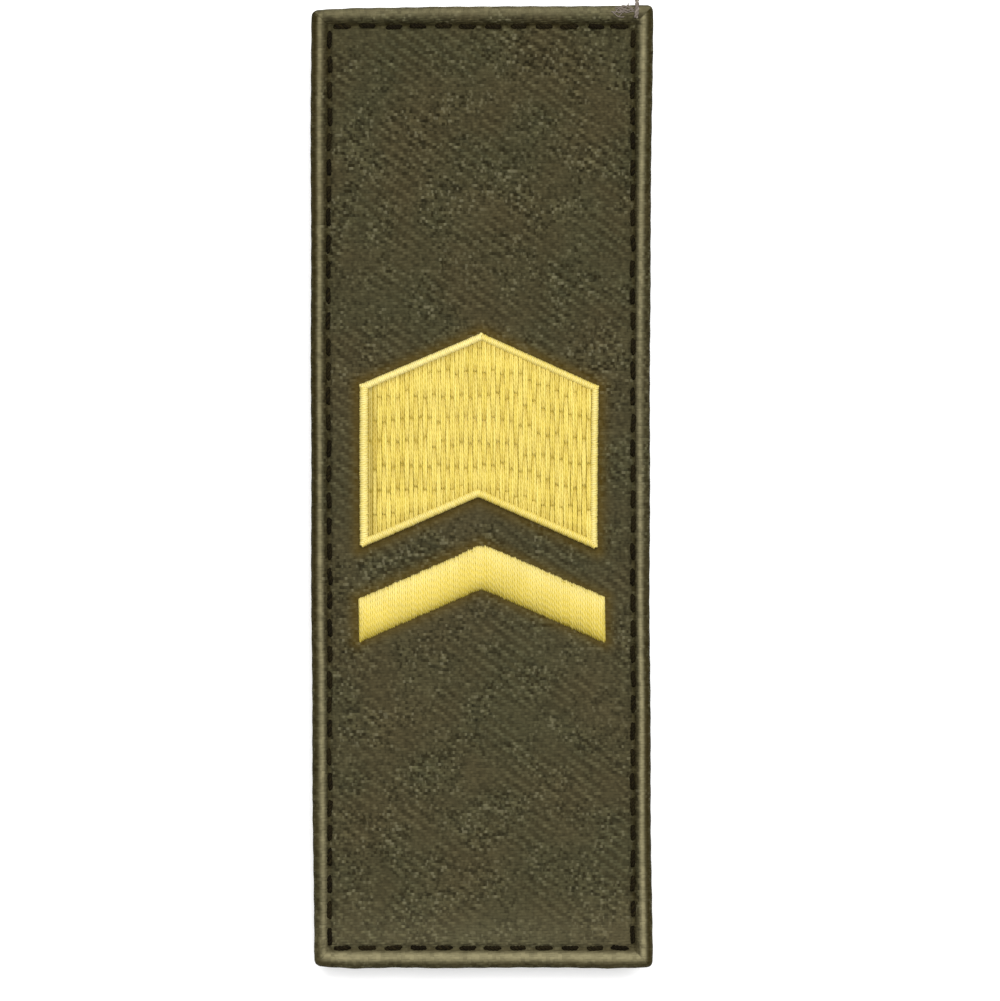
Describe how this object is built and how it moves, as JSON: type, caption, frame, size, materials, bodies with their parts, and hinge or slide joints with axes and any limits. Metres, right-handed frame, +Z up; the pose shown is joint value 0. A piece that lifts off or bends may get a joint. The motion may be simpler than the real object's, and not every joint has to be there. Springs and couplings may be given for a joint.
{
  "type": "rank insignia shoulder slide",
  "caption": "Slip-on shoulder rank slide: olive cloth face with folded, stitched rim and embroidered yellow chevrons, over an open cloth sleeve for a shoulder strap.",
  "frame": {"origin": "middle of the underside of the back cloth, on the surface that the slide rests on", "axes": "+Y along the slide towards the chevrons' points, +Z up out of the face, +X to the right as the face is seen"},
  "size_m": [0.05, 0.141, 0.0083],
  "materials": {
    "olive_face_cloth": "matt olive twill, stiffened, with dark edge stitching",
    "olive_back_cloth": "matt plain-woven olive cloth",
    "yellow_fill_thread": "silky yellow embroidery thread laid in upright rows",
    "yellow_satin_thread": "silky pale yellow embroidery thread in satin stitch",
    "dark_edge_thread": "nearly black olive sewing thread"
  },
  "bodies": {
    "root": {"front_panel": "olive_face_cloth", "sleeve_back": "olive_back_cloth", "wide_chevron": "yellow_fill_thread", "wide_chevron_border": "yellow_satin_thread", "narrow_chevron": "yellow_satin_thread"}
  },
  "joints": []
}
